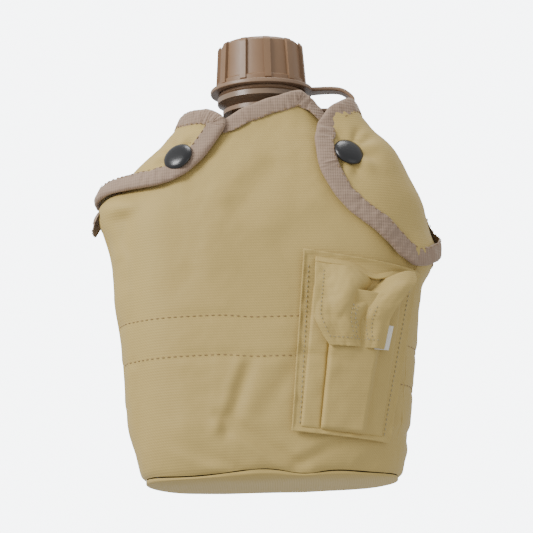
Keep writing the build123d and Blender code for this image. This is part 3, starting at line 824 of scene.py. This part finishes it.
for side in ("left", "right"):
    low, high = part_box(f"{side}_snap_cap")
    seat = SEATS[-1 if side == "left" else 1]
    outward = (0.5 * (low + high) - seat).normalized()
    outward = (outward + Vector((-0.24 if side == "left" else 0.20, 0, 0.16))).normalized()
    seat = 0.5 * (low + high) - outward * 0.0017
    dome = bmesh.new()
    outline = ((0.0071, 0.0), (0.0074, 0.0005), (0.0072, 0.0011), (0.0064, 0.0018), (0.0048, 0.00245),
               (0.0026, 0.0028), (0.0, 0.0029))
    ring = [dome.verts.new((r, 0, h)) for r, h in outline]
    for a, b in zip(ring, ring[1:]):
        dome.edges.new((a, b))
    bmesh.ops.spin(
        dome, geom=dome.verts[:] + dome.edges[:], axis=(0, 0, 1), cent=(0, 0, 0),
        steps=40, angle=2 * math.pi,
    )
    bmesh.ops.remove_doubles(dome, verts=dome.verts, dist=0.00002)
    bmesh.ops.recalc_face_normals(dome, faces=dome.faces)
    dome.transform(Matrix.Translation(seat) @ outward.to_track_quat("Z", "Y").to_matrix().to_4x4())
    for face in dome.faces:
        face.smooth = True
    mesh = bpy.data.meshes.new(f"{side}_snap_dome")
    dome.to_mesh(mesh)
    dome.free()
    snap_dome = bpy.data.objects.new(f"{side}_snap_dome", mesh)
    bpy.context.scene.collection.objects.link(snap_dome)
    mesh.materials.append(black_enamel)
    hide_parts(f"{side}_snap_cap")
    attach(snap_dome, f"flap_{side}")

# ------------------------------------------------------------------ cap strap
# A flat band moulded with the two rings joins the cap to the neck.  It springs out to one side and
# bends back on itself.
low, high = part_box("strap_loop")
ring_low, ring_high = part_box("strap_cap_ring")
route = [
    (ring_high.x - 0.001, 0.5 * (ring_low.z + ring_high.z)),
    (0.5 * (ring_high.x + high.x), high.z - 0.0008),
    (high.x - 0.004, high.z - 0.0022),
    (high.x, 0.5 * (low.z + high.z) - 0.0004),
    (high.x - 0.004, low.z + 0.0016),
    (0.5 * (ring_high.x + high.x), low.z + 0.0008),
    (low.x - 0.002, low.z + 0.001),
]


def strap_place(u, v):
    """A flat band bent round on itself, a little wider towards its two ends."""
    spot = u * (len(route) - 1)
    i = min(int(spot), len(route) - 2)
    t = spot - i
    before, a, b, after = (route[max(i - 1, 0)], route[i], route[i + 1], route[min(i + 2, len(route) - 1)])
    x, z = (
        0.5 * (2 * a[k] + (b[k] - before[k]) * t + (2 * before[k] - 5 * a[k] + 4 * b[k] - after[k]) * t * t
               + (3 * a[k] - before[k] - 3 * b[k] + after[k]) * t**3)
        for k in (0, 1)
    )
    wide = 0.5 * (high.y - low.y) * (1 + 0.35 * (1 - math.sin(math.pi * u)) ** 2)
    return Vector((x, (2 * v - 1) * wide, z))


strap = sheet_of("strap_band", 60, 8, strap_place, ring_plastic, ROOT, "strap_loop", thick=0.0019)
strap.modifiers["ply"].offset = 0

# ------------------------------------------------------------------ tablet pocket
# A small pocket for tablets: a cloth patch with a pleated pouch on it, sewn in grey thread, and a slack
# flap closed by hook and loop tape.  A pale scrap of the hook tape shows at the flap's corner.
hook_cloth = cloth("hook_tape", (0.80, 0.77, 0.69), (0.55, 0.52, 0.45), 0.0008, 20, 0.9, 1.0, 0.4)
thread_grey = cloth("grey_thread", (0.40, 0.34, 0.20), (0.27, 0.22, 0.12), 0.0004, 60, 0.5, 0.6, 0.2)
POCKET_WIDE, POCKET_TALL = 0.0500, 0.0905
CORNERS = ((0.0090, 0.0215), (0.0533, 0.0160), (0.0171, 0.1060), (0.0700, 0.0970))


def pocket_point(s, t, out):
    """A point of the pocket: s across, t up from its middle, out from the cover."""
    across, up = s / POCKET_WIDE + 0.5, t / POCKET_TALL + 0.5
    (ax, az), (bx, bz), (cx, cz), (dx, dz) = CORNERS
    x = (ax + (bx - ax) * across) * (1 - up) + (cx + (dx - cx) * across) * up
    z = (az + (bz - az) * across) * (1 - up) + (cz + (dz - cz) * across) * up
    return cover_point(front_turn(x, z), z, out)


def patch_place(u, v):
    """The backing patch, its rim curled and a little frayed."""
    s, t = (u - 0.5) * POCKET_WIDE, (v - 0.5) * POCKET_TALL
    rim = min(u, 1 - u, v, 1 - v)
    curl = 0.0010 * max(0.0, 1 - rim / 0.035) * (1 + noise.noise(Vector((u * 9, v * 14, 1))))
    fray = 0.0004 * noise.noise(Vector((u * 60, v * 90, 7))) * (rim < 0.01)
    return pocket_point(s + fray, t + fray, 0.0011 + curl)[0]


backing = sheet_of("pocket_backing", 60, 100, patch_place, khaki, ROOT, "pocket_patch", thick=0.0009)


def pouch_place(u, v):
    """Pouch front: a wide raised strip between a deep fold and a soft one, sewn down at three sides."""
    s, t = (u - 0.5) * (0.0400 - 0.0020 * v), -0.0425 + v * 0.0700
    lean_in = 0.285 - 0.015 * v
    strip = eased((u - lean_in) * 34) * (1 - eased((u - 0.735 - 0.02 * v) * 14))
    rise = 0.0021 + 0.0016 * v * math.sin(math.pi * u) ** 0.5
    rise += 0.0042 * strip * (0.45 + 0.55 * v)
    rise -= 0.0022 * bell(u - lean_in + 0.022, 0.026)
    rise += 0.0005 * noise.noise(Vector((u * 5, v * 7, 3)))
    rim = min(u * 1.2, (1 - u) * 1.2, v * 1.6 + 0.004)
    rise = 0.0017 + (rise - 0.0017) * min(1.0, rim / 0.03)
    return pocket_point(s - 0.0018 * bell(u - lean_in - 0.02, 0.02), t, rise)[0]


pouch = sheet_of(
    "pouch_front", 110, 90, pouch_place, khaki, ROOT, "pocket_pouch", "pocket_loop_tape", thick=0.0007
)


def flap_cloth(u, v, out=0.0):
    """The pocket's slack flap: v from its sewn edge at the top to its free edge."""
    v = min(v, 1.0)
    left = -0.0196 + 0.0008 * v + 0.0085 * max(0.0, (v - 0.62) / 0.38) ** 1.4
    right = 0.0188 + 0.0012 * bell(v - 0.10, 0.12) - 0.0062 * eased(v * 1.5)
    s = left + (right - left) * u
    t = 0.0388 - 0.0408 * v + 0.0020 * u * v
    t -= 0.0042 * bell(u - 0.66, 0.17) * (1 - v) ** 1.5
    t += 0.0030 * eased((u - 0.76) * 5) * (1 - v) ** 2
    rise = 0.0034 + 0.0052 * math.sin(0.5 * math.pi * min(1, v * 1.8)) - 0.0016 * v * v
    valley = 0.70 - 0.42 * v
    rise -= 0.0056 * bell(u - valley, 0.075) * bell(v - 0.14, 0.30)
    rise += 0.0044 * eased((u - 0.66) * 3.4) * bell(v - 0.16, 0.34)
    rise += 0.0030 * bell(u - 0.40, 0.16) * bell(v - 0.50, 0.34)
    rise -= 0.0030 * bell(u - 0.74 + 0.10 * v, 0.055) * bell(v - 0.72, 0.26)
    rise += 0.0012 * bell(u - 0.87, 0.06) * bell(v - 0.80, 0.25)
    rise += 0.0008 * noise.noise(Vector((u * 4.2, v * 4.2, 9)))
    rise += 0.0003 * noise.noise(Vector((u * 14, v * 11, 4)))
    return pocket_point(s, t, rise + out)


slack_flap = sheet_of(
    "pocket_flap_cloth", 90, 80, lambda u, v: flap_cloth(u, v)[0], khaki, "tablet_flap",
    "pocket_flap", thick=0.0011,
)


def seam_place(u, v):
    """The strip of the flap that is sewn to the backing."""
    s, t = -0.0196 + 0.0384 * u, 0.0388 + v * 0.0030 - 0.0042 * bell(u - 0.66, 0.17)
    return pocket_point(s, t, 0.0022 * (1 - v) ** 0.7 + 0.0014)[0]


root = sheet_of("pocket_flap_root", 60, 8, seam_place, khaki, ROOT, "pocket_flap_seam", thick=0.0009)


def hook_place(u, v):
    """The scrap of hook tape that shows past the flap's lower right corner."""
    point, normal = flap_cloth(0.70 + 0.31 * u, 0.70 + 0.31 * v, -0.0014)
    return point + Vector((0.0026 * u, 0, -0.0004 * v))


scrap = sheet_of(
    "hook_scrap", 24, 18, hook_place, hook_cloth, "tablet_flap", "pocket_hook_tape", thick=0.0007
)

SIDE_STEPS = 160
for name, corners, out in (
    ("pouch_stitches", ((-0.0222, 0.038), (-0.0208, -0.0415), (0.0212, -0.0415), (0.0218, 0.038)), 0.0022),
    ("backing_stitches", ((-0.0225, 0.0428), (0.0225, 0.0428)), 0.0018),
):
    points, normals = [], []
    for a, b in zip(corners, corners[1:]):
        for step in range(SIDE_STEPS):
            t = step / SIDE_STEPS
            point, normal = pocket_point(a[0] + (b[0] - a[0]) * t, a[1] + (b[1] - a[1]) * t, out)
            points.append(point)
            normals.append(normal)
    stitches(name, points, normals, ROOT, thread_grey, 0.0014, 0.0008, 0.00022)

flap_rows = (
    [(0.10, v / 60) for v in range(4, 52)] + [(0.10 + u / 100, 0.90) for u in range(0, 78)],
    [(0.50, 0.45 + v / 90) for v in range(0, 40)],
    [(0.56, 0.45 + v / 90) for v in range(0, 40)],
    [(0.50 + v / 250, 0.45 + v / 90) for v in range(0, 40)],
    [(0.72, 0.45 + v / 90) for v in range(0, 40)],
    [(0.78, 0.43 + v / 90) for v in range(0, 42)],
)
for count, row in enumerate(flap_rows):
    spots = [flap_cloth(u, v, 0.0013) for u, v in row]
    stitches(
        f"flap_stitches_{count}", [p for p, _ in spots], [n for _, n in spots], "tablet_flap",
        finish=thread_grey, length=0.0012, gap=0.0006, size=0.00020,
    )

# ------------------------------------------------------------------ back webbing and belt clips
# Two bands of webbing are sewn across the back and hold the black enamelled belt clips, each with a
# slide that locks it.  The solids are shown with their own finishes.
strap_cloth = cloth("webbing", (0.44, 0.36, 0.20), (0.30, 0.24, 0.13), 0.0014, 90, 0.7, 0.8, 0.3)
clip_enamel = moulded("clip_enamel", (0.035, 0.035, 0.033), (0.02, 0.02, 0.02), 0.38, 1200, 0.2, 0.4)
finish_solids(strap_cloth, "back_webbing_lower", "back_webbing_upper")
for side in ("left", "right"):
    finish_solids(clip_enamel, f"{side}_clip_frame", f"{side}_clip_slide")

bpy.context.view_layer.update()
